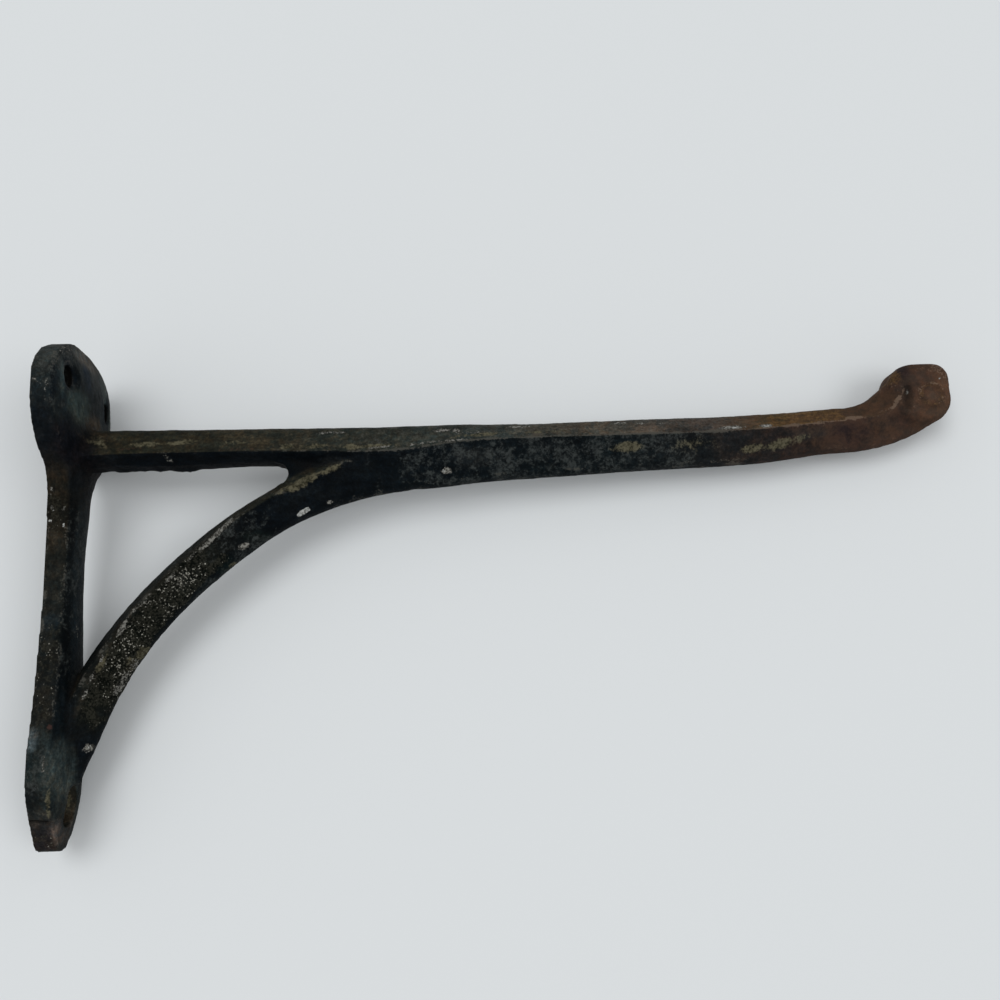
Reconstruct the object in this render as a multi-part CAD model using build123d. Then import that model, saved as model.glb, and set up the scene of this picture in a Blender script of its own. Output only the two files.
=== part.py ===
from build123d import *
import math
import os

# Cast-iron wall hook for tack, all sizes in millimetres.
# +X runs out from the wall along the arm, +Z is up and Y is the width.
# The origin lies on the back face of the wall plate, about half way up it.
# The casting is symmetric about the plane Y = 0, where its mould parted.

# Overall
reach = 298.0              # wall face to the outermost point of the knob
plate_height = 160.4       # wall plate, tip to tip
plate_above = 79.05        # how much of it stands above the origin

# Wall plate: wide upper pad, narrow spine, smaller lower pad
plate_edge = 6.3           # thickness at the rim
top_pad_width = 52.0
top_pad_length = 46.0      # plate top down to where the pad has run out into the spine
spine_width = 15.8
bottom_pad_width = 28.4
bottom_pad_length = 53.0   # plate bottom up to where the pad has run out into the spine
plate_crown = 3.2          # how far the front swells over the rim, on the lower pad
top_pad_crown = 4.0        # the same on the upper pad
top_pad_skew = 1.6         # how much higher the pad stands at its near edge than in the middle
spine_crown = 2.4          # the same on the spine

# Screw holes
top_hole_radius = 3.5
top_hole_spacing = 32.0
top_hole_drop = 15.0       # plate top down to the middle between the two holes
top_hole_skew = 1.6        # near hole above that middle, and far hole below it
top_sink_radius = 5.4      # shallow seat round each upper hole
top_sink_depth = 0.6
top_sink_rise = 0.9        # seat centre above the hole's centre
slot_width = 7.6
slot_length = 12.0
slot_rise = 13.1           # plate bottom up to the centre of the slot

# Arm: ridged bar, widest at its side edges, crowned above them, tapered below
arm_edge_z = 41.6          # height of the side edges at the root
arm_edge_rise = 4.8        # how much higher they are before the neck
arm_width = 16.0
arm_root_crown = 9.7       # side edge up to the crest, at the root
arm_crown = 6.3            # the same along the rest of the arm
arm_root_drop = 3.7        # side edge down to the underside, inside the frame
arm_web_drop = 12.9        # the same where the brace has merged
arm_tip_drop = 9.2         # the same before the neck
arm_under_width = 7.0      # width of the rounded underside
root_flare = 1.8           # how much each side of the root grows where it meets the plate
root_flare_length = 6.5

# Brace: same kind of section along a curved line below the arm
brace_width = 14.0
brace_crown = 4.3          # side edge up to the inner crest
brace_drop = 10.0          # side edge down to the outer crest
brace_merge_drop = 12.6    # the same where the brace runs into the arm
brace_under_width = 6.4
brace_foot_z = -57.4       # height at which its side edges enter the plate
brace_merge_x = 108.0      # where its side edges have sunk into the arm
crotch_radius = 3.6        # rounded end of the opening between arm and brace
crotch_x = 75.6            # outermost point of the opening
crotch_web = 8.0           # thickness of the web that fills the corner

# Neck and knob
neck_length = 38.0         # arm's end back from the outermost point of the knob
knob_length = 20.9
knob_height = 20.6
knob_corner = 8.6
knob_top_corner = 5.6      # the outer upper corner is squarer
knob_width = 15.4
knob_round = 4.0           # rounding of the knob's two rims
knob_rise = 14.5           # side edges at the root up to the knob's centre
boss_radius = 4.9
boss_width = 16.6
boss_round = 0.55
boss_offset = 2.3          # boss centre outward of the knob's centre
boss_lower = 1.8           # boss centre below the knob's centre
dimple_radius = 2.3
dimple_length = 10.5
dimple_depth = 1.1
dimple_lower = 2.1         # dimple centre below the knob's centre
dimple_offset = 5.4        # dimple centre inward of the knob's centre

z_top = plate_above
z_bottom = plate_above - plate_height
arm_end = reach - neck_length
arm_end_z = arm_edge_z + arm_edge_rise
knob_x = reach - knob_length / 2
knob_z = arm_edge_z + knob_rise


def plate_outline():
    """Half outline of the plate as (half width, height), from the top down."""
    tw = top_pad_width / 2
    sw = spine_width / 2
    bw = bottom_pad_width / 2
    tl = top_pad_length
    bl = bottom_pad_length
    return [
        (0.0, z_top),
        (0.33 * tw, z_top - 0.015 * tl),
        (0.64 * tw, z_top - 0.085 * tl),
        (0.86 * tw, z_top - 0.187 * tl),
        (0.975 * tw, z_top - 0.305 * tl),
        (tw, z_top - 0.425 * tl),
        (0.885 * tw, z_top - 0.67 * tl),
        (sw + 0.50 * (tw - sw), z_top - 0.82 * tl),
        (sw + 0.21 * (tw - sw), z_top - 0.912 * tl),
        (sw + 0.090 * (tw - sw), z_top - 1.015 * tl),
        (sw + 0.040 * (tw - sw), z_top - 1.168 * tl),
        (sw, z_top - 1.57 * tl),
        (sw + 0.08 * (bw - sw), z_bottom + 1.385 * bl),
        (sw + 0.33 * (bw - sw), z_bottom + 1.08 * bl),
        (sw + 0.68 * (bw - sw), z_bottom + 0.742 * bl),
        (bw, z_bottom + 0.460 * bl),
        (0.93 * bw, z_bottom + 0.342 * bl),
        (0.69 * bw, z_bottom + 0.194 * bl),
        (0.44 * bw, z_bottom + 0.080 * bl),
        (0.24 * bw, z_bottom + 0.015 * bl),
        (0.0, z_bottom),
    ]


def plate_crowns():
    """Height, half width and crown of the swelled front, from the bottom up."""
    tw = top_pad_width / 2 + 0.6
    sw = spine_width / 2 + 0.6
    bw = bottom_pad_width / 2 + 0.6
    return [
        (z_bottom - 1.0, 0.7 * bw, 0.4),
        (z_bottom + 6.0, 0.8 * bw, 0.5 * plate_crown),
        (z_bottom + 0.30 * bottom_pad_length, 0.95 * bw, plate_crown),
        (z_bottom + 0.50 * bottom_pad_length, bw, plate_crown),
        (z_bottom + 1.02 * bottom_pad_length, 0.5 * (bw + sw), 0.5 * (plate_crown + spine_crown)),
        (z_bottom + 1.42 * bottom_pad_length, sw, spine_crown),
        (z_top - 1.44 * top_pad_length, sw, spine_crown),
        (z_top - 1.22 * top_pad_length, sw + 0.8, 0.8 * plate_crown + 0.2 * spine_crown),
        (z_top - 1.02 * top_pad_length, sw + 3.0, 1.08 * plate_crown),
        (z_top - 0.86 * top_pad_length, 0.5 * (tw + sw) + 2.0, 0.5 * (plate_crown + top_pad_crown)),
        (z_top - 0.55 * top_pad_length, tw, top_pad_crown),
        (z_top - 0.25 * top_pad_length, tw, 0.92 * top_pad_crown),
        (z_top - 4.0, 0.95 * tw, 0.5 * plate_crown),
        (z_top + 1.0, 0.9 * tw, 0.3),
    ]


def crown_section(z, half, crown):
    """Plate section at height z: flat behind, flat margins, arched middle in front."""
    wide = top_pad_width + bottom_pad_width
    base = Polyline(
        (plate_edge, -half, z),
        (plate_edge, -wide, z),
        (0, -wide, z),
        (0, wide, z),
        (plate_edge, wide, z),
        (plate_edge, half, z),
    )
    arch = ThreePointArc(
        (plate_edge, half, z),
        (plate_edge + crown, 0, z),
        (plate_edge, -half, z),
    )
    return make_face([base.edges(), arch.edges()])


def askew(y, z):
    """Height of an outline point once the upper pad is tilted towards its near edge."""
    into = (z - z_top + 0.95 * top_pad_length) / (0.5 * top_pad_length)
    share = min(max(into, 0.0), 1.0)
    return z - top_pad_skew * share * y / (top_pad_width / 2)


def wall_plate():
    half = plate_outline()
    right = [(0, y, askew(y, z)) for y, z in half]
    left = [(0, -y, askew(-y, z)) for y, z in reversed(half[1:-1])]
    rim = Spline(right + left, periodic=True)
    blank = extrude(make_face(rim), amount=plate_edge + plate_crown + 2, dir=(1, 0, 0))
    front = loft([crown_section(*row) for row in plate_crowns()])
    return blank & front


def top_holes():
    drills = []
    for side in (-1, 1):
        y = side * top_hole_spacing / 2
        z = z_top - top_hole_drop - side * top_hole_skew
        axis = Plane(origin=(0, y, z), x_dir=(0, 1, 0), z_dir=(1, 0, 0))
        bore = Cylinder(top_hole_radius, 60, align=(Align.CENTER, Align.CENTER, Align.CENTER))
        drills.append(axis * bore)
        t = top_hole_spacing / top_pad_width
        face_x = plate_edge + top_pad_crown * (1 - t * t)
        seat = Cylinder(top_sink_radius, 20, align=(Align.CENTER, Align.CENTER, Align.MIN))
        drills.append(axis * Pos(0, top_sink_rise, face_x - top_sink_depth) * seat)
    return drills


def bottom_slot():
    axis = Plane(origin=(-5, 0, z_bottom + slot_rise), x_dir=(0, 1, 0), z_dir=(1, 0, 0))
    shape = SlotOverall(slot_length, slot_width, rotation=90)
    return extrude(axis * shape, amount=30)


def kite(origin, angle, half, crown, drop, under):
    """Ridged section across a bar whose line rises at angle degrees at origin."""
    a = math.radians(angle)
    at = Plane(origin=origin, x_dir=(0, 1, 0), z_dir=(math.cos(a), 0, math.sin(a)))
    shoulder = (0.45 * half, 0.80 * crown)
    foot = (under / 2, -0.86 * drop)
    lines = [
        Line((-half, 0), (-shoulder[0], shoulder[1])),
        ThreePointArc((-shoulder[0], shoulder[1]), (0, crown), shoulder),
        Line(shoulder, (half, 0)),
        Line((half, 0), foot),
        ThreePointArc(foot, (0, -drop), (-foot[0], foot[1])),
        Line((-foot[0], foot[1]), (-half, 0)),
    ]
    return at * make_face(lines)


def arm_end_section():
    """Where the straight bar hands over to the neck."""
    place = (arm_end, 0, arm_end_z)
    return kite(place, 4, arm_width / 2, arm_crown, arm_tip_drop, arm_under_width)


def arm():
    """Straight bar from the plate to the start of the neck."""
    w = arm_width / 2
    z = arm_edge_z
    u = arm_under_width
    rise = arm_edge_rise
    start = plate_edge - 2.0
    merge = brace_merge_x
    inner = merge - start
    outer = arm_end - merge
    rows = [
        (start, z + 0.1, arm_root_crown + 0.6, arm_root_drop - 0.2),
        (start + 0.20 * inner, z, arm_root_crown + 0.2, arm_root_drop - 0.2),
        (start + 0.40 * inner, z - 0.1, arm_root_crown, arm_root_drop - 0.1),
        (start + 0.60 * inner, z - 0.4, arm_root_crown, arm_root_drop - 1.0),
        (start + 0.80 * inner, z - 0.9, arm_root_crown + 0.2, arm_root_drop + 1.0),
        (merge, z - 1.2, arm_root_crown + 0.3, 0.79 * arm_web_drop),
        (merge + 0.14 * outer, z + 0.21 * rise, 0.5 * (arm_root_crown + arm_crown), arm_web_drop + 0.1),
        (merge + 0.28 * outer, z + 0.41 * rise, arm_crown + 0.3, 0.96 * arm_web_drop),
        (merge + 0.42 * outer, z + 0.45 * rise, arm_crown + 0.2, 0.91 * arm_web_drop),
        (merge + 0.56 * outer, z + 0.45 * rise, arm_crown + 0.5, 0.84 * arm_web_drop),
        (merge + 0.71 * outer, z + 0.47 * rise, arm_crown + 0.6, arm_tip_drop + 1.1),
        (merge + 0.86 * outer, z + 0.68 * rise, arm_crown + 0.2, arm_tip_drop + 0.7),
    ]
    faces = [kite((x, 0, h), 0, w, c, d, u) for x, h, c, d in rows]
    return loft(faces + [arm_end_section()])


def root():
    """Flared foot of the arm on the plate."""
    w = arm_width / 2
    f = root_flare
    start = plate_edge - 2.0
    rows = [(0.0, f), (0.3, 0.62 * f), (0.6, 0.24 * f), (1.0, -0.1)]
    faces = []
    for share, grow in rows:
        place = (start + 2.0 + share * root_flare_length, 0, arm_edge_z)
        crown = arm_root_crown + 0.6 + grow
        drop = arm_root_drop + 0.4 * grow
        faces.append(kite(place, 0, w + grow, crown, drop, arm_under_width + grow))
    return loft(faces)


def neck():
    """Upturned end of the bar, from the arm into the knob."""
    w = arm_width / 2
    u = arm_under_width
    dx = knob_x - arm_end
    dz = knob_z + 0.4 - arm_end_z
    rows = [
        (0.33, 0.08, 14, w, 0.3, 0.0),
        (0.57, 0.35, 33, w, 0.8, 1.5),
        (0.70, 0.77, 46, w - 0.3, -0.3, 4.7),
        (0.84, 1.20, 58, w - 1.0, -0.9, 5.3),
        (0.91, 1.44, 68, w - 2.0, -1.2, 1.8),
    ]
    faces = [arm_end_section()]
    for a, b, angle, half, grow, deep in rows:
        place = (arm_end + a * dx, 0, arm_end_z + b * dz)
        faces.append(kite(place, angle, half, arm_crown + grow, arm_tip_drop + deep, u))
    return loft(faces)


def knob():
    across = Plane(origin=(knob_x, 0, knob_z), x_dir=(1, 0, 0), z_dir=(0, -1, 0))
    flat = Rectangle(knob_length, knob_height)
    outer_top = (knob_length / 2, knob_height / 2, 0)
    flat = fillet(flat.vertices().sort_by_distance(outer_top)[1:], knob_corner)
    flat = fillet(flat.vertices().sort_by_distance(outer_top)[0], knob_top_corner)
    lump = extrude(flat, amount=knob_width / 2, both=True)
    rims = lump.faces().sort_by(Axis.Z)[0].edges() + lump.faces().sort_by(Axis.Z)[-1].edges()
    lump = fillet(rims, knob_round)
    boss = Cylinder(boss_radius, boss_width)
    boss = fillet(boss.edges().filter_by(GeomType.CIRCLE), boss_round)
    boss = Pos(boss_offset, -boss_lower, 0) * boss
    return [across * lump, across * boss]


def dimples():
    cuts = []
    for side in (-1, 1):
        rod = Cylinder(dimple_radius, dimple_length)
        rod = fillet(rod.edges().filter_by(GeomType.CIRCLE), 0.9 * dimple_radius)
        y = side * (knob_width / 2 + dimple_radius - dimple_depth)
        cuts.append(Pos(knob_x - dimple_offset, y, knob_z - dimple_lower) * Rot(0, 8, 0) * rod)
    return cuts


def brace():
    """Curved strut from the lower pad to the arm."""
    w = brace_width / 2
    u = brace_under_width
    c = brace_crown
    d = brace_drop
    m = brace_merge_drop
    x0 = plate_edge - 5.3
    z0 = brace_foot_z
    dx = brace_merge_x - x0
    dz = arm_edge_z - 1.0 - z0
    rows = [
        (0.000, 0.000, 68.0, c - 0.4, d + 1.1),
        (0.033, 0.090, 68.0, c - 0.4, d + 1.1),
        (0.070, 0.186, 66.0, c - 0.4, d + 1.1),
        (0.112, 0.280, 61.0, c - 0.4, d + 0.8),
        (0.175, 0.388, 55.0, c - 0.4, d + 0.5),
        (0.263, 0.508, 50.0, c - 0.3, d + 0.1),
        (0.358, 0.612, 44.5, c - 0.1, d),
        (0.447, 0.697, 40.0, c - 0.1, d),
        (0.550, 0.785, 34.5, c - 0.4, d + 0.2),
        (0.665, 0.863, 30.0, c - 0.6, d + 0.4),
        (0.771, 0.922, 24.0, c - 0.4, 0.7 * d + 0.3 * m + 0.5),
        (0.881, 0.970, 16.0, c, 0.3 * d + 0.7 * m + 0.5),
        (1.000, 1.000, 8.0, c, m + 0.2),
    ]
    faces = [kite((x0 + a * dx, 0, z0 + b * dz), t, w, h, e, u) for a, b, t, h, e in rows]
    last = (x0 + 1.13 * dx, 0, z0 + 1.01 * dz)
    faces.append(kite(last, 5, 0.8 * w, 0.6 * c, 0.8 * m, 0.8 * u))
    strut = loft(faces)
    wall = Box(60, 60, plate_height * 2, align=(Align.MAX, Align.CENTER, Align.CENTER))
    return strut - Pos(plate_edge - 3.0, 0, 0) * wall


def crotch():
    """Web in the corner between arm and brace, with the opening's rounded end."""
    r = crotch_radius
    underside = arm_edge_z - arm_root_drop
    cx = crotch_x - r
    cz = underside - 0.9 * r
    across = Plane(origin=(cx, 0, cz), x_dir=(1, 0, 0), z_dir=(0, -1, 0))
    block = Pos(2.0 * r, -0.1 * r) * Rectangle(4.0 * r, 2.9 * r)
    return extrude(across * (block - Circle(r)), amount=crotch_web / 2, both=True)


def hook():
    body = wall_plate() + root()
    body = body + arm()
    body = body + brace()
    body = body + crotch()
    body = body + neck()
    for piece in knob():
        body = body + piece
    for cut in dimples():
        body = body - cut
    for cut in top_holes():
        body = body - cut
    body = body - bottom_slot()
    return body


os.makedirs("parts", exist_ok=True)
tack_hook = hook()
export_step(tack_hook, "parts/tack_hook.step")
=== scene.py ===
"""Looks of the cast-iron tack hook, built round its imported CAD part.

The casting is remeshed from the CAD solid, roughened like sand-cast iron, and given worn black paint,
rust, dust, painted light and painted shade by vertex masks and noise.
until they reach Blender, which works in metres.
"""

import math

import bmesh
import bpy
import numpy as np
from mathutils import Matrix, Vector, noise


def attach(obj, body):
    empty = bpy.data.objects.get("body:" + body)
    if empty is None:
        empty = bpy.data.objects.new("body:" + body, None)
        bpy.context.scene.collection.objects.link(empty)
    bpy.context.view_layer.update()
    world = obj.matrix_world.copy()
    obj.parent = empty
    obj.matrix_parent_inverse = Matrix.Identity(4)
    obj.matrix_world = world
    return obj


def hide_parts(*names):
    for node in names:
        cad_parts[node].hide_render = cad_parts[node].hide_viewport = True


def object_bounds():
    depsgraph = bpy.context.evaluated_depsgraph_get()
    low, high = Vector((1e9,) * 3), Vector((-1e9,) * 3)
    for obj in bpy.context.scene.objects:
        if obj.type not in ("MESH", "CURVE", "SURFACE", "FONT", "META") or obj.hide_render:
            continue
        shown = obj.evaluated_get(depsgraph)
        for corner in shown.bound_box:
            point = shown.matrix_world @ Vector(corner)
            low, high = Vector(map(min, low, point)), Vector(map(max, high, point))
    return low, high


MM = 0.001
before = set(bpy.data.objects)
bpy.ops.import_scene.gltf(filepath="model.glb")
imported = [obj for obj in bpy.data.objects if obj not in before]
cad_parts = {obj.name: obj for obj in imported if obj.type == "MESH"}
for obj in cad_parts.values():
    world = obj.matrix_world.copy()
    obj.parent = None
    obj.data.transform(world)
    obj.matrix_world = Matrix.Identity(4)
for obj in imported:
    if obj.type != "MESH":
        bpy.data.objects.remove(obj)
cad_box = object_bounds()

# ---------------------------------------------------------------- camera
CAMERA_PLACE = Vector((134.75, -325.9, -39.93)) * MM
CAMERA_UP = math.radians(11.17)  # looks up along the object by this much
CAMERA_ASIDE = math.radians(1.78)  # and a little towards the tip
CAMERA_ROLL = math.radians(-2.02)
SENSOR_WIDTH = 36  # mm
LENS = 36.1  # mm
NEAREST, FARTHEST = 0.01, 20  # m, the range that the camera sees


def make_camera():
    forward = Vector(
        (
            math.sin(CAMERA_ASIDE) * math.cos(CAMERA_UP),
            math.cos(CAMERA_ASIDE) * math.cos(CAMERA_UP),
            math.sin(CAMERA_UP),
        )
    )
    right = Vector((math.cos(CAMERA_ASIDE), -math.sin(CAMERA_ASIDE), 0))
    up = right.cross(forward)
    c, s = math.cos(CAMERA_ROLL), math.sin(CAMERA_ROLL)
    right, up = right * c + up * s, up * c - right * s
    data = bpy.data.cameras.new("camera")
    data.sensor_width = SENSOR_WIDTH
    data.lens = LENS
    data.clip_start, data.clip_end = NEAREST, FARTHEST
    camera = bpy.data.objects.new("camera", data)
    camera.matrix_world = Matrix.Translation(CAMERA_PLACE) @ Matrix(
        (right, up, -forward)
    ).transposed().to_4x4()
    bpy.context.scene.collection.objects.link(camera)
    bpy.context.scene.camera = camera


# ---------------------------------------------------------------- the casting's mesh
VOXEL = 0.65  # mm, the remesh's step
SAME_POINT = 1e-6  # m, vertices closer than this are one


def smoothstep(low, high, value):
    t = np.clip((value - low) / (high - low), 0, 1)
    return t * t * (3 - 2 * t)


def window(low, high, soft, value):
    """1 between low and high, falling to 0 over soft on both sides."""
    return smoothstep(low - soft, low, value) * (1 - smoothstep(high, high + soft, value))


def bell(value, width):
    """1 where the value is 0, falling away on both sides over about this width."""
    return np.exp(-((value / width) ** 2))


def field(points, size, octaves, seed):
    """Fractal noise, about -1 to 1, with features of this size in mm."""
    shift = Vector((13.1 * seed, -7.7 * seed, 5.3 * seed))
    return np.array(
        [noise.fractal(Vector(p) + shift, 0.7, 2.1, octaves) for p in points / size]
    )


class Skin:
    """A mesh's vertices in mm with their neighbours, for smoothing and masks."""

    def __init__(self, mesh):
        self.mesh = mesh
        self.count = len(mesh.vertices)
        co = np.empty(self.count * 3)
        mesh.vertices.foreach_get("co", co)
        self.co = co.reshape(-1, 3) / MM
        pairs = np.empty(len(mesh.edges) * 2, int)
        mesh.edges.foreach_get("vertices", pairs)
        self.pairs = pairs.reshape(-1, 2)
        self.degree = np.bincount(pairs, minlength=self.count)

    def around(self, values):
        """The mean of each vertex's neighbours."""
        a, b = self.pairs.T
        values = values.reshape(self.count, -1)
        out = np.empty_like(values)
        for k in range(values.shape[1]):
            out[:, k] = np.bincount(a, values[b, k], self.count) + np.bincount(
                b, values[a, k], self.count
            )
        return out / self.degree[:, None]

    def smooth(self, values, steps, pull=0.5, push=0.0):
        values = values.reshape(self.count, -1).copy()
        for _ in range(steps):
            values += pull * (self.around(values) - values)
            if push:
                values -= push * (self.around(values) - values)
        return values

    def normals(self):
        self.write()
        n = np.empty(self.count * 3, np.float32)
        self.mesh.vertex_normals.foreach_get("vector", n)
        return n.reshape(-1, 3).astype(float)

    def write(self):
        self.mesh.vertices.foreach_set("co", (self.co * MM).astype(np.float32).ravel())
        self.mesh.update()

    def mask(self, name, values):
        layer = self.mesh.attributes.new(name, "FLOAT", "POINT")
        layer.data.foreach_set("value", np.clip(values, 0, 1).astype(np.float32).ravel())

    def colour(self, name, values):
        layer = self.mesh.attributes.new(name, "FLOAT_COLOR", "POINT")
        rgba = np.ones((self.count, 4), np.float32)
        rgba[:, :3] = values
        layer.data.foreach_set("color", rgba.ravel())


def remesh(source, name):
    mesh = source.data.copy()
    mesh.materials.clear()
    bm = bmesh.new()
    bm.from_mesh(mesh)
    bmesh.ops.remove_doubles(bm, verts=bm.verts, dist=SAME_POINT)
    bm.to_mesh(mesh)
    bm.free()
    piece = bpy.data.objects.new(name, mesh)
    bpy.context.scene.collection.objects.link(piece)
    step = piece.modifiers.new("remesh", "REMESH")
    step.mode = "VOXEL"
    step.voxel_size = VOXEL * MM
    step.adaptivity = 0
    depsgraph = bpy.context.evaluated_depsgraph_get()
    made = bpy.data.meshes.new_from_object(piece.evaluated_get(depsgraph))
    piece.modifiers.clear()
    piece.data = made
    made.name = name
    return piece


# The brace is close to an arc about this point, so a distance from it tells inner edge from outer.
ARC_X, ARC_Z = 119.5, -78.5
ARC_INNER, ARC_OUTER = 119.0, 105.0

# Places that the relief, colours and masks follow.
HOLE_Y, HOLE_Z = 16, 64.05  # the two upper holes: distance from the middle plane, and mean height
HOLE_SLOPE = 0.1  # rise from the far hole to the near one, for each mm across
SLOT_Z, SLOT_STRAIGHT = -68.25, 2.2  # the lower hole's middle, and half of its straight part
BOSS_X, BOSS_Z = 289.9, 54.3  # the low boss on the knob's side
VALLEY_X, VALLEY_Z = 281.6, 55.0  # the hollow between neck and boss
CRACK_Z, CRACK_SLOPE = -71.4, 0.05  # the crack across the foot's side wall
FLASH_Y, FLASH_LUMP_X = 0.8, 43.6  # the strip of flash under the arm, and the lump on it

TONE_LEVEL = 0.74  # share of the written tones that is used
INSET = 0.06  # mm, the whole skin moves in by this to leave room for its relief
BOX_MARGIN = 0.02  # mm, how far the skin stays inside the CAD part's box

# General colour along each part of the casting, with painted light and shade in the arm's and brace's
# tables: a place in mm, then sRGB.
# the upward facets: olive dust and rust, and lighter partly as painted light
ARM_TOP = [
    (8, 40, 36, 30), (24, 42, 41, 32), (60, 44, 42, 34), (100, 46, 48, 43), (140, 54, 58, 55),
    (180, 80, 73, 64), (215, 68, 62, 58), (238, 82, 63, 42), (262, 70, 53, 38),
    (276, 64, 48, 37), (298, 78, 58, 45),
]
# the lower facets: black paint and rust, and darker partly as painted shade
ARM_SIDE = [
    (8, 20, 19, 20), (24, 10, 15, 19), (90, 9, 14, 18), (110, 12, 18, 22), (140, 14, 20, 23),
    (185, 20, 26, 28), (215, 29, 30, 31), (240, 40, 34, 32), (262, 50, 39, 35), (298, 78, 58, 45),
]
BRACE = [  # by distance from the arc's centre; the light band at 115 is the ridge, partly a painted highlight, and the darker slopes beside it are partly painted shade
    (104.0, 12, 18, 20), (106.0, 14, 19, 20), (108.0, 21, 23, 20), (113.5, 23, 24, 20),
    (115.0, 37, 36, 31), (116.5, 24, 26, 24), (120.0, 15, 18, 18),
]
WALL_SIDE = [  # the plate's rim, by height
    (-82, 46, 39, 38), (-76, 38, 33, 33), (-71.6, 44, 44, 43), (-66, 42, 46, 44),
    (-54, 30, 37, 37), (-47, 46, 50, 48), (-41, 30, 30, 28),
    (-20, 28, 30, 29), (0, 30, 32, 30), (20, 36, 33, 27), (33, 33, 30, 24),
    (42, 20, 22, 24), (54, 22, 28, 31), (62, 38, 43, 43), (80, 40, 44, 43),
]
WALL_FRONT = [
    (-82, 40, 40, 38), (-70, 32, 36, 35), (-56, 20, 27, 30), (-30, 16, 21, 24), (0, 20, 25, 27),
    (30, 20, 23, 24), (44, 26, 24, 26), (52, 26, 32, 34), (66, 28, 35, 37), (80, 42, 42, 40),
]
WALL_BACK = (40, 36, 32)
BRACE_FOOT = (9, 15, 20)
# painted shade in the hollow between neck and boss
VALLEY_SHADE = (52, 48, 40)
# painted shade in the hollows
HOLLOW_SHADE = (16, 12, 10)
# painted shade inside the two upper holes
HOLE_SHADE = (11, 10, 8)
SLOT_WALL = (54, 50, 42)
# painted shade in the seats round the upper holes
SEAT_SHADE = (10, 16, 22)
CRACK = (4, 4, 4)
BLOTCHES = [  # on the near side: middle x and z, half width and height, colour, weight
    (1.2, -47.5, 1.9, 3.4, (84, 88, 88), 1.0), (8.0, -57.0, 3.0, 8.5, (64, 71, 69), 0.85),
    (2.0, -64.5, 2.6, 4.5, (18, 20, 21), 0.8), (8.0, -75.5, 2.4, 3.8, (80, 73, 69), 0.85),
    (3.0, -77.5, 3.0, 3.0, (34, 30, 31), 0.6), (3.0, -12.0, 3.4, 3.0, (26, 35, 40), 0.7),
    (9.0, 43.5, 5.0, 5.5, (22, 21, 26), 0.75), (2.5, 48.0, 4.0, 7.0, (13, 18, 23), 0.7),
    (3.0, 71.0, 3.0, 5.0, (52, 56, 54), 0.7), (248.0, 42.8, 7.0, 1.8, (30, 40, 44), 0.7),
    (262.0, 42.5, 7.0, 3.0, (46, 34, 37), 0.7), (281.5, 63.5, 2.4, 3.0, (46, 38, 44), 0.7),
    (137.0, 38.0, 7.0, 3.0, (42, 44, 44), 0.5), (90.0, 37.5, 6.0, 1.6, (34, 38, 40), 0.5),
    (56.0, 5.0, 3.0, 3.0, (12, 26, 24), 0.5), (66.0, 14.0, 5.0, 2.2, (22, 30, 26), 0.5),
]

# Marks on the near side: middle x and z, half length, half width, turn in degrees, weight.
TAN_MARKS = [  # worn to tan primer or ochre rust
    (75.7, 42.9, 2.2, 1.0, 0, 0.8), (85, 42.9, 4.2, 0.9, 2, 0.85), (96, 42.3, 3.2, 1.1, 0, 0.7),
    (29.5, 45.2, 4.5, 0.9, 0, 0.8), (41.4, 45.6, 4.5, 0.9, 3, 0.8), (58, 45, 6, 0.8, 0, 0.5),
    (80, 30.8, 6.0, 1.5, 24, 1.0), (89, 34.6, 4.2, 1.0, 22, 0.75), (104, 42.2, 8, 0.8, 2, 0.6),
    (187.9, 40.0, 3.8, 1.6, 0, 1.0), (183.5, 39.2, 2.0, 1.3, 0, 0.7), (229, 38.4, 4.5, 1.3, 8, 0.7),
    (238, 39.4, 5.5, 1.6, 12, 0.8), (246, 41.0, 3.0, 1.2, 10, 0.6), (209, 40, 7, 2.4, 0, 0.45),
    (30.0, -22.0, 2.4, 1.4, 50, 1.0), (27.0, -25.0, 2.4, 1.6, 60, 0.7), (18.4, -25.0, 3.6, 0.9, 62, 0.8),
    (57.6, 4.6, 2.0, 0.9, 40, 0.8), (13.6, 46.9, 4, 2, -25, 0.6),
    (6.6, -65.9, 4.0, 0.7, 85, 0.8), (140, 45.4, 10, 0.8, 3, 0.7), (160, 45.9, 7, 0.7, 1, 0.5),
]
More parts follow.
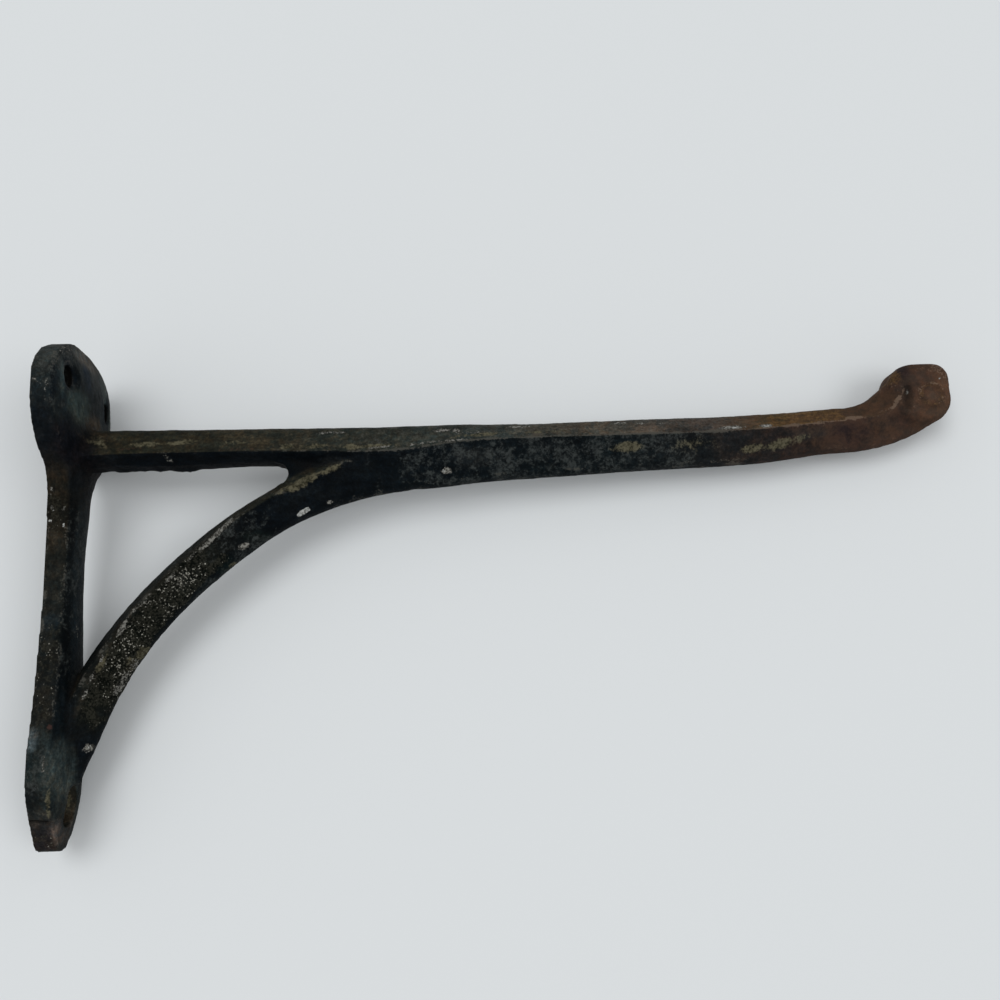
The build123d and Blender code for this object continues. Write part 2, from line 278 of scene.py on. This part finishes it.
PALE_CHIPS_AND_HIGHLIGHTS = [  # bare bright chips and rubbed streaks; the long thin upright streaks at the plate's edges are painted highlights
    (61.7, 11.1, 1.7, 0.85, 22, 1.0), (89.3, 24.8, 1.1, 0.5, 10, 0.9), (127.4, 43.3, 9.0, 0.45, 3, 0.62),
    (14.4, -50.7, 1.4, 1.1, 40, 0.8), (126.1, 47.7, 2.6, 0.7, 0, 0.9), (131.1, 47.5, 1.2, 0.7, 0, 0.8),
    (152, 48.4, 4.0, 0.5, 0, 0.6), (222, 45.3, 4.5, 0.7, 2, 0.9), (233.6, 45.6, 2.0, 0.6, 0, 1.0),
    (185.7, 48.6, 2.2, 0.5, 0, 0.8), (192.7, 48.3, 2.0, 0.5, 0, 0.7), (199.3, 48.0, 1.6, 0.4, 0, 0.6),
    (106, 41.8, 5.0, 0.4, 3, 0.6), (118, 42.5, 5.0, 0.4, 6, 0.55), (136, 46.4, 5.0, 0.4, 2, 0.5),
    (36.7, 40.6, 1.8, 0.8, -35, 0.42), (90, 48, 5.5, 0.5, 0, 0.6), (127.4, 33.8, 1.7, 1.0, 5, 1.0),
    (55.6, 17.0, 4.6, 1.1, 44, 0.75), (51.0, 12.2, 3.8, 0.8, 44, 0.8), (46.0, 8.0, 2.0, 0.7, 46, 0.6),
    (39.5, 1.5, 2.6, 0.7, 48, 0.55), (31.6, -5.8, 2.6, 0.6, 52, 0.55), (28.4, -8.6, 2.2, 0.6, 52, 0.6),
    (24.8, -14.0, 3.4, 0.8, 60, 0.7), (18.6, -23.5, 1.8, 0.6, 62, 0.6), (15.6, -29.4, 2.6, 0.5, 64, 0.7),
    (13.9, -34.0, 2.0, 0.5, 68, 0.6), (27.6, -25.4, 1.8, 1.4, 55, 0.6), (23.6, -31.5, 4.2, 1.0, 60, 0.6),
    (2.9, 60.7, 1.0, 0.7, 0, 0.5), (5.1, 58.7, 3.6, 0.4, 86, 0.5),
    (2.0, 62.0, 1.6, 0.5, 10, 0.4), (7.3, 74.8, 3.0, 0.7, 88, 0.35), (282.6, 56.6, 1.2, 0.5, 70, 0.5),
    (1.8, 24.8, 0.5, 0.7, 0, 0.8), (5.6, 24.0, 0.4, 0.6, 0, 0.8), (1.6, 30.0, 0.7, 1.2, 0, 0.45),
    (5.6, -55.0, 4.0, 0.35, 88, 0.5), (9.0, -13.0, 4.5, 0.35, 90, 0.6), (248, 35.6, 1.0, 0.8, 0, 0.4),
]
BRIGHT_MARKS = [
    (80.6, 21.7, 2.3, 0.7, 29, 1.0), (293.7, 60.2, 0.35, 0.35, 0, 1.0), (1.4, 20.4, 0.5, 0.6, 0, 0.9),
    (5.7, 18.9, 0.35, 0.6, 0, 0.9), (2.2, 23.6, 0.3, 0.4, 20, 0.8), (233.6, 45.4, 0.9, 0.3, 0, 0.8),
    (223.0, 45.2, 0.8, 0.3, 0, 0.8), (126.5, 33.9, 0.5, 0.4, 0, 0.8), (14.8, -50.2, 0.5, 0.3, 30, 0.8),
]
# a painted highlight along the curved ridge of the neck
NECK_HIGHLIGHT = [
    (278.2, 52.6, 3.8, 0.6, 55, 0.6), (281.3, 57.0, 2.4, 0.5, 75, 0.55),
    (272.6, 49.3, 3.0, 0.5, 18, 0.55),
]
RED_MARKS = [(6.1, -43.7, 0.8, 0.9, 0, 0.9), (24.7, 43.6, 5.0, 0.6, 2, 0.4), (58, 42.4, 8.0, 0.6, 0, 0.4)]

PAD_BLOTCHES = [  # on the plate's front: middle y and z, half width and height, colour, weight
    (-4.5, 70.0, 3.0, 6.0, (10, 25, 38), 0.9), (-25.0, 62.0, 1.8, 7.0, (12, 20, 26), 0.8),
    (-20.5, 64.0, 1.2, 6.0, (66, 78, 78), 0.7), (-10.0, 57.5, 7.0, 5.0, (66, 76, 72), 0.85),
    (3.0, 53.5, 8.0, 3.5, (76, 66, 52), 0.85), (-2.0, 76.0, 10.0, 3.2, (84, 80, 75), 0.9),
    (13.0, 69.0, 4.0, 8.0, (70, 78, 76), 0.7), (9.0, 60.0, 3.0, 8.0, (24, 36, 42), 0.7),
    (-16.0, 47.0, 5.0, 6.0, (12, 16, 22), 0.7), (22.0, 60.0, 3.0, 9.0, (64, 70, 68), 0.7),
]


def srgb(*rgb):
    c = np.array(rgb, float) / 255
    return np.where(c <= 0.04045, c / 12.92, ((c + 0.055) / 1.055) ** 2.4)


def along(value, stations):
    """The colours between stations, as linear light."""
    at, *rgb = np.array(stations, float).T
    return srgb(*(np.interp(value, at, channel) for channel in rgb)).T


def blotch(across, up, x, z, wide, high):
    """1 in the middle of a soft patch, and 0 outside it."""
    return 1 - smoothstep(0.5, 1.4, np.hypot((across - x) / wide, (up - z) / high))


def lay(colours, over, weight):
    """Colours with another, or others, laid over them by weight."""
    return colours + (over - colours) * weight[:, None]


def marks(co, facing, places, soft, corner=2):
    """A mask of rounded marks; a higher corner makes them squarer."""
    total = np.zeros(len(co))
    for x, z, long, wide, turn, weight in places:
        c, s = math.cos(math.radians(turn)), math.sin(math.radians(turn))
        dx, dz = co[:, 0] - x, co[:, 2] - z
        length_share = abs((dx * c + dz * s) / long) ** corner
        width_share = abs((dz * c - dx * s) / wide) ** corner
        reach = (length_share + width_share) ** (1 / corner)
        total = np.maximum(total, weight * (1 - smoothstep(1 - soft, 1 + soft, reach)))
    return total * facing


def other_side_marks(count, seed):
    """Chips for the side that lies down, strewn along arm and brace."""
    rng = np.random.default_rng(seed)
    places = []
    for _ in range(count):
        long, wide = rng.uniform(0.8, 3.4), rng.uniform(0.4, 1.0)
        if rng.random() < 0.62:
            x = rng.uniform(16, 262)
            places.append((x, rng.uniform(38, 48), long, wide, rng.uniform(-8, 12), rng.uniform(0.5, 1)))
        else:
            a = rng.uniform(14, 62)
            r = rng.uniform(107, 116)
            x = ARC_X - r * math.cos(math.radians(a))
            z = ARC_Z + r * math.sin(math.radians(a))
            places.append((x, z, long, wide, 90 - a, rng.uniform(0.5, 1)))
    return places


class Survey:
    """Each vertex's place, noise and weights, which the relief, colours and masks read."""

    def __init__(self, skin):
        self.n = n = skin.normals()
        self.co = co = skin.co.copy()
        self.x, self.y, self.z = x, y, z = co.T
        self.near = smoothstep(-0.15, 0.25, -n[:, 1])
        self.far = smoothstep(-0.15, 0.25, n[:, 1])
        self.upward = smoothstep(-0.02, 0.34, n[:, 2])

        self.convex = ((co - skin.smooth(co, 9, 0.6)) * n).sum(1)
        self.hollow = -((co - skin.smooth(co, 90, 0.6)) * n).sum(1)

        self.coarse = coarse = field(co, 11, 3, 1)
        self.grain = field(co, 3.2, 4, 2)
        self.grit = field(co, 1.5, 3, 3)

        self.arc = arc = np.hypot(x - ARC_X, z - ARC_Z)
        self.sweep = sweep = np.degrees(np.arctan2(z - ARC_Z, ARC_X - x))
        on_brace = window(4, 62, 6, sweep) * window(ARC_OUTER - 4, ARC_INNER + 4, 3, arc)
        self.on_brace = on_brace * smoothstep(8, 13, x)
        crust = self.on_brace * window(106.2, 113.4, 1.8, arc + 1.2 * coarse)
        self.crust = crust * window(24, 50, 5, sweep + 5 * coarse)

        self.tip = smoothstep(206, 262, x + 6 * coarse)
        self.knob = smoothstep(272, 279, x) * smoothstep(44, 48, z)
        self.plate = 1 - smoothstep(8.0, 11.5, x - 0.8 * smoothstep(-0.2, 0.3, n[:, 0]))
        self.rim = self.plate * smoothstep(0.35, 0.75, abs(n[:, 1])) * (1 - smoothstep(6.0, 7.6, x))
        self.front = self.plate * smoothstep(0.1, 0.5, n[:, 0])
        self.foot = self.rim * smoothstep(0.3, 0.8, -n[:, 1])

        self.hole_z = HOLE_Z - HOLE_SLOPE * y
        from_hole = np.hypot(abs(y) - HOLE_Y, z - self.hole_z)
        from_slot = np.hypot(y, np.maximum(abs(z - SLOT_Z) - SLOT_STRAIGHT, 0))
        bores = self.plate * (1 - smoothstep(4.0, 5.2, np.minimum(from_hole, from_slot)))
        self.bores = bores * (1 - smoothstep(0.5, 0.8, abs(n[:, 0])))

    def crack(self, width):
        """1 along the crack across the foot, falling away over this width."""
        return bell(self.z - CRACK_Z + CRACK_SLOPE * self.x - 0.4 * self.coarse, width)


def flash(at):
    """A ragged strip left along the underside of the arm next to the plate, in mm."""
    under = bell(at.y - FLASH_Y, 1.3) * smoothstep(0.2, 0.7, -at.n[:, 2]) * window(34, 42, 3, at.z)
    ragged = np.clip(0.5 + 1.1 * field(at.co * (1, 0.2, 0.2), 4.5, 3, 7), 0, 1)
    strip = window(12, 44, 3, at.x) * (0.25 + 0.45 * ragged) + window(44, 72, 6, at.x) * 0.2 * ragged
    strip += 0.6 * bell(at.x - FLASH_LUMP_X, 1.7)
    return under * strip


def relief(at):
    """How far each vertex moves out along its normal, in mm."""
    lift = 0.10 * at.coarse + 0.06 * at.grain + 0.03 * at.grit
    lift += at.crust * (0.14 * at.grain + 0.12 * np.minimum(at.grit, 0.2) - 0.03)
    lift += at.tip * 0.05 * at.grain
    lift += at.front * 0.07 * at.grit * smoothstep(30, 50, abs(at.z))
    lift += at.rim * window(-45, -24, 8, at.z) * 0.06 * at.grit
    lift += flash(at)
    lift -= 0.65 * at.foot * at.crack(0.5)
    # a small step under the crack
    lift -= 0.2 * at.foot * smoothstep(71.8, 72.8, -at.z)
    # the back stays nearly flat on the wall
    return lift * (1 - 0.9 * (1 - smoothstep(0.02, 0.4, at.x)))


def tones(at):
    """The casting's general colour at each vertex, with painted light and shade in it, as linear light."""
    x, y, z, n = at.x, at.y, at.z, at.n
    tone = lay(along(x, ARM_SIDE), along(x, ARM_TOP), at.upward)
    tone = lay(tone, along(at.arc, BRACE), at.on_brace * (1 - smoothstep(50, 62, at.sweep)))
    low_brace = at.on_brace * (1 - smoothstep(15, 22, at.sweep + 2 * at.coarse))
    tone = lay(tone, srgb(*BRACE_FOOT), low_brace)
    tone = lay(tone, along(z, WALL_FRONT), at.plate * (1 - 0.75 * at.on_brace))
    # along the spine, painted shade on the strip next to the near edge and painted light on the rest of the
    # front
    tone *= 1 + (at.front * window(-26, 24, 9, z) * (1.5 * smoothstep(-6.5, -2.5, y) - 0.35))[:, None]
    tone = lay(tone, along(z, WALL_SIDE), at.rim)
    back = smoothstep(0.5, 0.8, -n[:, 0]) * (1 - smoothstep(0.5, 1.5, x))
    tone = lay(tone, srgb(*WALL_BACK), back)
    # painted shade in the hollow between neck and boss
    across = (x - VALLEY_X - 0.15 * (z - 54)) / 2.2
    valley = np.exp(-(across**2) - ((z - VALLEY_Z) / 6.0) ** 2) * abs(n[:, 1])
    tone = lay(tone, srgb(*VALLEY_SHADE), at.knob * 0.85 * valley)
    # on the tip, painted shade in the hollows and painted light on the bulges
    tone *= (2.0 ** (at.tip * np.clip(-0.9 * at.hollow, -0.9, 0.5)))[:, None]
    # painted shade in the hollows
    tone = lay(tone, srgb(*HOLLOW_SHADE), smoothstep(0.5, 1.6, at.hollow) * 0.6)
    # painted shade inside the two upper holes
    tone = lay(tone, srgb(*HOLE_SHADE), at.bores * smoothstep(0, 20, z))
    # painted shade in the seats round the upper holes
    seats = 1 - smoothstep(4.6, 7.0, np.hypot(abs(y) - HOLE_Y, z - at.hole_z - 0.6))
    tone = lay(tone, srgb(*SEAT_SHADE), at.front * seats * 0.8)
    for bx, bz, wide, high, rgb, weight in BLOTCHES:
        tone = lay(tone, srgb(*rgb), at.near * weight * blotch(x, z, bx, bz, wide, high))
    for by, bz, wide, high, rgb, weight in PAD_BLOTCHES:
        tone = lay(tone, srgb(*rgb), at.front * weight * blotch(y, z, by, bz, wide, high))
    crack = at.foot * at.crack(0.45) * (1 - smoothstep(5.2, 6.4, x))
    tone = lay(tone, srgb(*CRACK), 0.9 * crack)
    tone = lay(tone, srgb(*SLOT_WALL), at.bores * smoothstep(0, 20, -z))
    # painted highlight on the boss's middle and its ring, painted shade in the groove between and round it
    boss = np.hypot(x - BOSS_X, z - BOSS_Z)
    boss_light_and_shade = 0.5 * (1 - smoothstep(1.0, 2.8, boss)) - 0.5 * bell(boss - 3.9, 0.8)
    boss_light_and_shade += 0.25 * window(4.8, 7.0, 1.2, boss) - 0.25 * smoothstep(7.5, 10.5, boss)
    tone *= 1 + (at.knob * smoothstep(0.5, 0.9, abs(n[:, 1])) * boss_light_and_shade)[:, None]
    return tone * TONE_LEVEL


def write_masks(skin, at):
    """The weights of 0 to 1 that the iron's shader breaks up with noise."""
    x, z, n = at.x, at.z, at.n
    co, coarse, near, far, rim = at.co, at.coarse, at.near, at.far, at.rim

    # rubbed paint along the ridges, and partly a painted highlight on them
    ridge = 0.30 + 0.45 * window(100, 215, 12, x) + 0.35 * window(216, 262, 6, x)
    ridge *= 0.35 + 0.65 * smoothstep(-0.35, 0.15, n[:, 2])
    ridge *= 1 - 0.6 * at.bores
    # the neck's marks are a painted highlight
    neck = marks(co, abs(n[:, 1]), NECK_HIGHLIGHT, 0.6)
    skin.mask("wear_and_highlight", smoothstep(0.03, 0.11, at.convex) * ridge + neck)
    skin.mask("calm", at.tip)
    # where the shader paints shade into the hollows
    skin.mask("hollow", smoothstep(0.1, 0.8, at.hollow))
    skin.mask("plate", at.plate)

    speckled = rim * (0.42 * window(-42, -16, 5, z + 3 * coarse) + 0.45 * window(17, 27, 4, z + 3 * coarse))
    speckled += 0.45 * rim * smoothstep(72, 76, -z)
    skin.mask("crust", np.maximum(at.crust, speckled))

    rust = np.maximum(0.8 * at.tip, 0.3 * near * blotch(x, z, 13, 47, 6, 4))
    rust = np.maximum(rust, rim * (0.12 * window(17, 34, 8, z) + 0.16 * smoothstep(68, 76, -z)))
    skin.mask("rust", rust)
    ring = bell(np.hypot(x - BOSS_X, z - BOSS_Z) - 3.6, 1.3) * smoothstep(0.5, 0.9, abs(n[:, 1]))
    yellow = near * blotch(x, z, 278.4, 61.6, 3.0, 3.2)
    ochre = 0.5 * at.upward * window(236, 258, 7, x) + 0.38 * ring * at.knob + 0.62 * yellow
    skin.mask("ochre", ochre)

    skin.mask("tan", marks(co, near, TAN_MARKS, 0.7) + marks(co, far, other_side_marks(16, 3), 0.7))
    skin.mask("pale", marks(co, near, PALE_CHIPS_AND_HIGHLIGHTS, 0.55) + marks(co, far, other_side_marks(24, 5), 0.55))
    skin.mask("red", marks(co, near, RED_MARKS, 0.7))
    skin.mask("bright", marks(co, near, BRIGHT_MARKS, 0.2, 5))

    arm = smoothstep(94, 128, x + 9 * coarse) * (1 - smoothstep(204, 222, x))
    grey = arm * (1 - at.upward) * smoothstep(26, 31, z) * 0.45
    grey += 0.25 * at.upward * window(100, 230, 10, x)
    grey += 0.3 * at.front * smoothstep(48, 56, z) + 0.35 * rim * smoothstep(56, 62, z)
    grey += 0.4 * rim * window(-64, -50, 5, z) + 0.35 * at.front * window(-30, 20, 10, z)
    grey += at.on_brace * (0.14 * smoothstep(18, 24, at.sweep) + 0.22 * smoothstep(36, 50, at.sweep))
    skin.mask("grey", grey)


def roughen(piece):
    """Shapes the remeshed casting like sand-cast iron and writes its colours and masks."""
    skin = Skin(piece.data)
    skin.co = skin.smooth(skin.co, 4, 0.5, 0.53)
    at = Survey(skin)
    skin.co = at.co + at.n * (relief(at) - INSET)[:, None]
    low, high = (np.array(c) / MM + s * BOX_MARGIN for c, s in zip(cad_box, (1, -1)))
    skin.co = np.clip(skin.co, low, high)
    skin.write()
    skin.colour("tone", tones(at))
    write_masks(skin, at)
    for face in piece.data.polygons:
        face.use_smooth = True


# ---------------------------------------------------------------- materials
def feed(tree, socket, value):
    """Links a socket to another node's output, or sets it to a plain value."""
    if isinstance(value, bpy.types.NodeSocket):
        tree.links.new(value, socket)
    else:
        socket.default_value = value


def node(tree, kind, inputs=None, **settings):
    made = tree.nodes.new("ShaderNode" + kind)
    for key, value in settings.items():
        setattr(made, key, value)
    for key, value in (inputs or {}).items():
        feed(tree, made.inputs[key], value)
    return made


def new_material(name):
    material = bpy.data.materials.new(name)
    material.use_nodes = True
    material.node_tree.nodes.clear()
    return material, material.node_tree


class Graph:
    """A material's nodes, with short names for the sums that its looks are made of."""

    def __init__(self, tree):
        self.tree = tree
        self.place = node(tree, "TexCoord").outputs["Object"]

    def mask(self, name):
        return node(self.tree, "Attribute", attribute_name=name).outputs["Fac"]

    def sums(self, kind, *values):
        made = node(self.tree, "Math", operation=kind)
        for k, value in enumerate(values):
            feed(self.tree, made.inputs[k], value)
        return made.outputs[0]

    def total(self, *terms):
        """The sum of (weight, value) terms."""
        out = self.sums("MULTIPLY", terms[0][1], terms[0][0])
        for weight, value in terms[1:]:
            out = self.sums("MULTIPLY_ADD", value, weight, out)
        return out

    def vector(self, kind, a, b):
        return node(self.tree, "VectorMath", {0: a, 1: b}, operation=kind).outputs[0]

    def ramp(self, value, low, high, to_low=0.0, to_high=1.0, kind="SMOOTHSTEP"):
        ends = {"From Min": low, "From Max": high, "To Min": to_low, "To Max": to_high}
        return node(self.tree, "MapRange", {"Value": value, **ends}, interpolation_type=kind).outputs[0]

    def blend(self, factor, a, b, kind="MIX"):
        made = node(self.tree, "Mix", data_type="RGBA", blend_type=kind)
        feed(self.tree, made.inputs[0], factor)
        for k, value in ((6, a), (7, b)):
            feed(self.tree, made.inputs[k], (*value, 1) if isinstance(value, tuple) else value)
        return made.outputs[2]

    def noise_at(self, size, shift, detail=8.0, rough=0.62, where=None):
        """Noise of about -1 to 1 with features of this size in mm."""
        moved = self.vector("ADD", where or self.place, (shift, shift * 0.7, -shift))
        settings = {"Scale": 1000 / size, "Detail": detail, "Roughness": rough}
        made = node(self.tree, "TexNoise", {"Vector": moved, **settings})
        return self.ramp(made.outputs[0], 0.30, 0.70, -1, 1, "LINEAR")

    def broken(self, weight, chop, bite=0.45, soft=0.08):
        """Where a weight of 0 to 1, eaten into by noise, still holds."""
        held = self.ramp(self.sums("MULTIPLY_ADD", chop, bite, weight), 0.5 - soft, 0.5 + soft)
        return self.sums("MULTIPLY", held, self.ramp(weight, 0.0, 0.25))


class Iron(Graph):
    """Old black paint over cast iron, with what the years have left on it, and painted highlights and
    shade.
    """

    def __init__(self, tree):
        super().__init__(tree)
        # streaks run along the arm, and upright on the wall plate
        lengthwise = self.vector("MULTIPLY", self.place, (0.42, 1, 1))
        upright = self.vector("MULTIPLY", self.place, (1, 1, 0.42))
        streaks = {0: self.mask("plate"), 4: lengthwise, 5: upright}
        run = node(tree, "Mix", streaks, data_type="VECTOR").outputs[1]
        self.big = self.noise_at(22, 0.1, 3)
        self.patch = self.noise_at(6.5, 0.3)
        self.blot = self.noise_at(2.4, 0.7, 8, 0.70)
        self.streak = self.noise_at(2.6, 1.3, 8, 0.70, run)
        self.fine = self.noise_at(0.9, 1.1, 5, 0.75)
        self.dots = self.noise_at(0.62, 1.9, 1, 0.5)
        self.chop = self.total((0.55, self.blot), (0.45, self.fine))

    def cover(self, colour, weight, share, over):
        """The colour with another laid over a share of this weight."""
        return self.blend(self.sums("MULTIPLY", weight, share), colour, over)

    def paint(self):
        """The casting's colour, painted light and shade included, mottled at every size."""
        big, patch, streak, blot, fine = self.big, self.patch, self.streak, self.blot, self.fine
        shade = self.total((0.35, big), (0.60, patch), (0.90, streak), (0.40, blot), (1.05, fine))
        shade = self.sums("MULTIPLY", shade, self.sums("MULTIPLY_ADD", self.mask("calm"), -0.6, 1.0))
        shade = self.sums("POWER", 2.0, shade)
        colour = node(self.tree, "Attribute", attribute_name="tone").outputs["Color"]
        warmth = self.ramp(self.total((0.4, patch), (0.6, blot)), -0.45, 0.45)
        tint = self.blend(warmth, (0.86, 1.02, 1.10), (1.15, 0.99, 0.86))
        colour = self.blend(1.0, colour, tint, "MULTIPLY")
        colour = node(self.tree, "VectorMath", {0: colour, "Scale": shade}, operation="SCALE").outputs[0]
        mottle = self.total((0.40, patch), (0.40, blot), (0.30, fine))
        self.grey = self.broken(self.mask("grey"), mottle, 0.70, 0.20)
        over = self.blend(self.ramp(self.chop, -0.5, 0.5), (0.006, 0.008, 0.009), (0.042, 0.048, 0.047))
        return self.cover(colour, self.grey, 0.75, over)

    def rusted(self, colour):
        patch, streak, fine, chop = self.patch, self.streak, self.fine, self.chop
        self.rust = self.broken(self.mask("rust"), self.total((0.6, patch), (0.4, fine)), 0.45, 0.35)
        mixed = self.ramp(self.total((0.5, patch), (0.5, chop)), -0.6, 0.6)
        over = self.blend(mixed, (0.027, 0.017, 0.013), (0.078, 0.048, 0.032))
        over = self.blend(self.ramp(self.big, -0.4, 0.5, 0.0, 0.6), over, (0.040, 0.024, 0.022))
        colour = self.cover(colour, self.rust, 0.45, over)
        ochre = self.broken(self.mask("ochre"), self.total((0.6, streak), (0.4, fine)), 0.55, 0.30)
        over = self.blend(self.ramp(chop, -0.5, 0.5), (0.040, 0.022, 0.009), (0.130, 0.078, 0.030))
        colour = self.cover(colour, ochre, 0.7, over)
        red = self.broken(self.mask("red"), chop, 0.45, 0.25)
        return self.cover(colour, red, 0.7, (0.060, 0.030, 0.026))

    def crusted(self, colour):
        """Crust with pale specks and dark pits."""
        patch, blot, fine, dots = self.patch, self.blot, self.fine, self.dots
        self.crust = self.mask("crust")
        crusty = self.broken(self.crust, self.total((0.5, blot), (0.5, fine)), 0.5, 0.20)
        gaps = self.ramp(self.total((0.5, blot), (0.6, dots)), -0.55, 0.55)
        over = self.blend(gaps, (0.002, 0.003, 0.002), (0.028, 0.028, 0.021))
        colour = self.cover(colour, crusty, 0.75, over)
        speck = self.total((0.50, self.crust), (0.42, patch), (0.80, dots), (0.34, fine))
        speck = self.sums("MULTIPLY", self.ramp(speck, 1.08, 1.28), self.ramp(self.crust, 0.15, 0.5))
        over = self.blend(self.ramp(fine, -0.5, 0.5), (0.075, 0.072, 0.060), (0.340, 0.330, 0.290))
        return self.blend(speck, colour, over)

    def worn(self, colour):
        """Worn ridges with a painted highlight, tan, pale and bright marks, and painted shade in the
        hollows.
        """
        patch, streak, blot, fine, dots = self.patch, self.streak, self.blot, self.fine, self.dots
        # the ridges' rubbed paint, with a painted highlight along them
        rubbed = self.total((0.5, streak), (0.4, patch), (0.3, dots))
        wear_and_highlight = self.broken(self.mask("wear_and_highlight"), rubbed, 0.80, 0.15)
        over = self.blend(self.mask("rust"), (0.060, 0.059, 0.051), (0.150, 0.100, 0.070))
        colour = self.cover(colour, wear_and_highlight, 0.75, over)
        flaked = self.total((0.5, blot), (0.3, patch), (0.5, fine))
        self.tan = self.broken(self.mask("tan"), flaked, 0.60, 0.26)
        over = self.blend(self.ramp(self.chop, -0.4, 0.4), (0.026, 0.024, 0.014), (0.105, 0.096, 0.062))
        colour = self.cover(colour, self.tan, 0.85, over)
        # pale chips, and thin upright streaks along the plate's edges which are painted highlights
        self.pale = self.broken(self.mask("pale"), self.total((0.4, blot), (0.7, fine)), 0.75, 0.16)
        over = self.blend(self.ramp(dots, -0.5, 0.5), (0.040, 0.039, 0.034), (0.185, 0.182, 0.165))
        colour = self.blend(self.pale, colour, over)
        bright = self.broken(self.mask("bright"), fine, 0.35, 0.10)
        over = self.blend(self.ramp(dots, -0.6, 0.6), (0.120, 0.122, 0.116), (0.370, 0.380, 0.365))
        colour = self.blend(bright, colour, over)
        # painted shade in the hollows
        return self.cover(colour, self.mask("hollow"), 0.5, (0.003, 0.003, 0.003))

    def roughness(self):
        rough = self.ramp(self.chop, -0.6, 0.6, 0.44, 0.68)
        covers = (self.grey, 0.66), (self.rust, 0.80), (self.crust, 0.85), (self.tan, 0.8), (self.pale, 0.6)
        for weight, value in covers:
            rough = node(self.tree, "Mix", {0: weight, 2: rough, 3: value}, data_type="FLOAT").outputs[0]
        return rough

    def bump(self):
        height = self.total((0.50, self.blot), (0.35, self.fine), (0.30, self.streak))
        gritty = self.total((0.8, self.fine), (0.8, self.dots))
        height = self.sums("ADD", height, self.sums("MULTIPLY", self.crust, gritty))
        height = self.sums("MULTIPLY_ADD", self.pale, -0.4, height)
        return node(self.tree, "Bump", {"Height": height, "Strength": 0.8, "Distance": 0.00022}).outputs[0]


def iron_material():
    material, tree = new_material("worn_cast_iron")
    iron = Iron(tree)
    colour = iron.worn(iron.crusted(iron.rusted(iron.paint())))
    shader = node(
        tree,
        "BsdfPrincipled",
        {
            "Base Color": colour,
            "Roughness": iron.roughness(),
            "Normal": iron.bump(),
            "Specular IOR Level": 0.03,
            "IOR": 1.5,
        },
    )
    node(tree, "OutputMaterial", {"Surface": shader.outputs[0]})
    return material


# ---------------------------------------------------------------- floor, light, world
PALE = (0.664, 0.692, 0.706)  # of the floor, and of what the camera sees past it
FLOOR_HALF = 3.0  # m
FADE_START, FADE_END = 0.6, 1.6  # m from its middle, over which the floor turns clear
DOME_LEVEL = 0.58
FLOOR_TOUCH = ((0, 26.2, 64), (0, 14.4, -64), (292, 9.4, 54))  # mm, on the side that lies down
FLOOR_MIDDLE = (149, 0, 0)  # mm, the point above the floor's middle


def make_floor():
    """The pale floor, through three of the widest places on the side that lies down."""
    touch = [Vector(p) * MM for p in FLOOR_TOUCH]
    facing = (touch[1] - touch[0]).cross(touch[2] - touch[0]).normalized()
    if facing.y > 0:
        facing.negate()
    middle = Vector(FLOOR_MIDDLE) * MM
    foot = middle - facing * (middle - touch[0]).dot(facing)
    mesh = bpy.data.meshes.new("floor")
    corners = [(a * FLOOR_HALF, b * FLOOR_HALF, 0) for a, b in ((-1, -1), (1, -1), (1, 1), (-1, 1))]
    mesh.from_pydata(corners, [], [(0, 1, 2, 3)])
    floor = bpy.data.objects.new("floor", mesh)
    floor.matrix_world = Matrix.Translation(foot) @ facing.to_track_quat("Z", "Y").to_matrix().to_4x4()
    bpy.context.scene.collection.objects.link(floor)

    material, tree = new_material("pale_floor")
    place = node(tree, "TexCoord").outputs["Object"]
    out = node(tree, "VectorMath", {0: place}, operation="LENGTH").outputs["Value"]
    reach = {"Value": out, "From Min": FADE_START, "From Max": FADE_END}
    ends = node(tree, "MapRange", reach, interpolation_type="SMOOTHSTEP").outputs[0]
    behind = node(tree, "NewGeometry").outputs["Backfacing"]
    clear = node(tree, "Math", {0: ends, 1: behind}, operation="MAXIMUM").outputs[0]
    matt = node(tree, "BsdfDiffuse", {"Color": (*PALE, 1), "Roughness": 0.0})
    open_ = node(tree, "BsdfTransparent")
    both = node(tree, "MixShader", {0: clear, 1: matt.outputs[0], 2: open_.outputs[0]})
    node(tree, "OutputMaterial", {"Surface": both.outputs[0]})
    floor.data.materials.append(material)
    floor.visible_shadow = False  # the lamp behind reaches the side that lies down


def make_light():
    def sun(name, strength, spread, towards):
        data = bpy.data.lights.new(name, "SUN")
        data.energy = strength
        data.angle = math.radians(spread)
        lamp = bpy.data.objects.new(name, data)
        lamp.rotation_euler = Vector(towards).to_track_quat("-Z", "Y").to_euler()
        bpy.context.scene.collection.objects.link(lamp)

    sun("key", 0.95, 34, (0.30, 0.92, -0.26))
    sun("fill", 0.70, 30, (-0.55, 0.82, 0.10))
    sun("back", 0.90, 60, (0.25, -0.90, -0.35))

    world = bpy.data.worlds.new("studio")
    bpy.context.scene.world = world
    world.use_nodes = True
    tree = world.node_tree
    tree.nodes.clear()
    path = node(tree, "LightPath")
    seen = path.outputs["Is Camera Ray"]
    for ray in ("Is Glossy Ray", "Is Transmission Ray"):
        seen = node(tree, "Math", {0: seen, 1: path.outputs[ray]}, operation="MAXIMUM").outputs[0]
    shown = node(tree, "Background", {"Color": (*PALE, 1), "Strength": 1.0})
    dome = node(tree, "Background", {"Color": (1, 1, 1, 1), "Strength": DOME_LEVEL})
    both = node(tree, "MixShader", {0: seen, 1: dome.outputs[0], 2: shown.outputs[0]})
    node(tree, "OutputWorld", {"Surface": both.outputs[0]})


make_camera()
casting = remesh(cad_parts["tack_hook"], "iron_casting")
roughen(casting)
casting.data.materials.append(iron_material())
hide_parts("tack_hook")
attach(casting, "root")
make_floor()
make_light()
bpy.context.scene.view_settings.view_transform = "Standard"
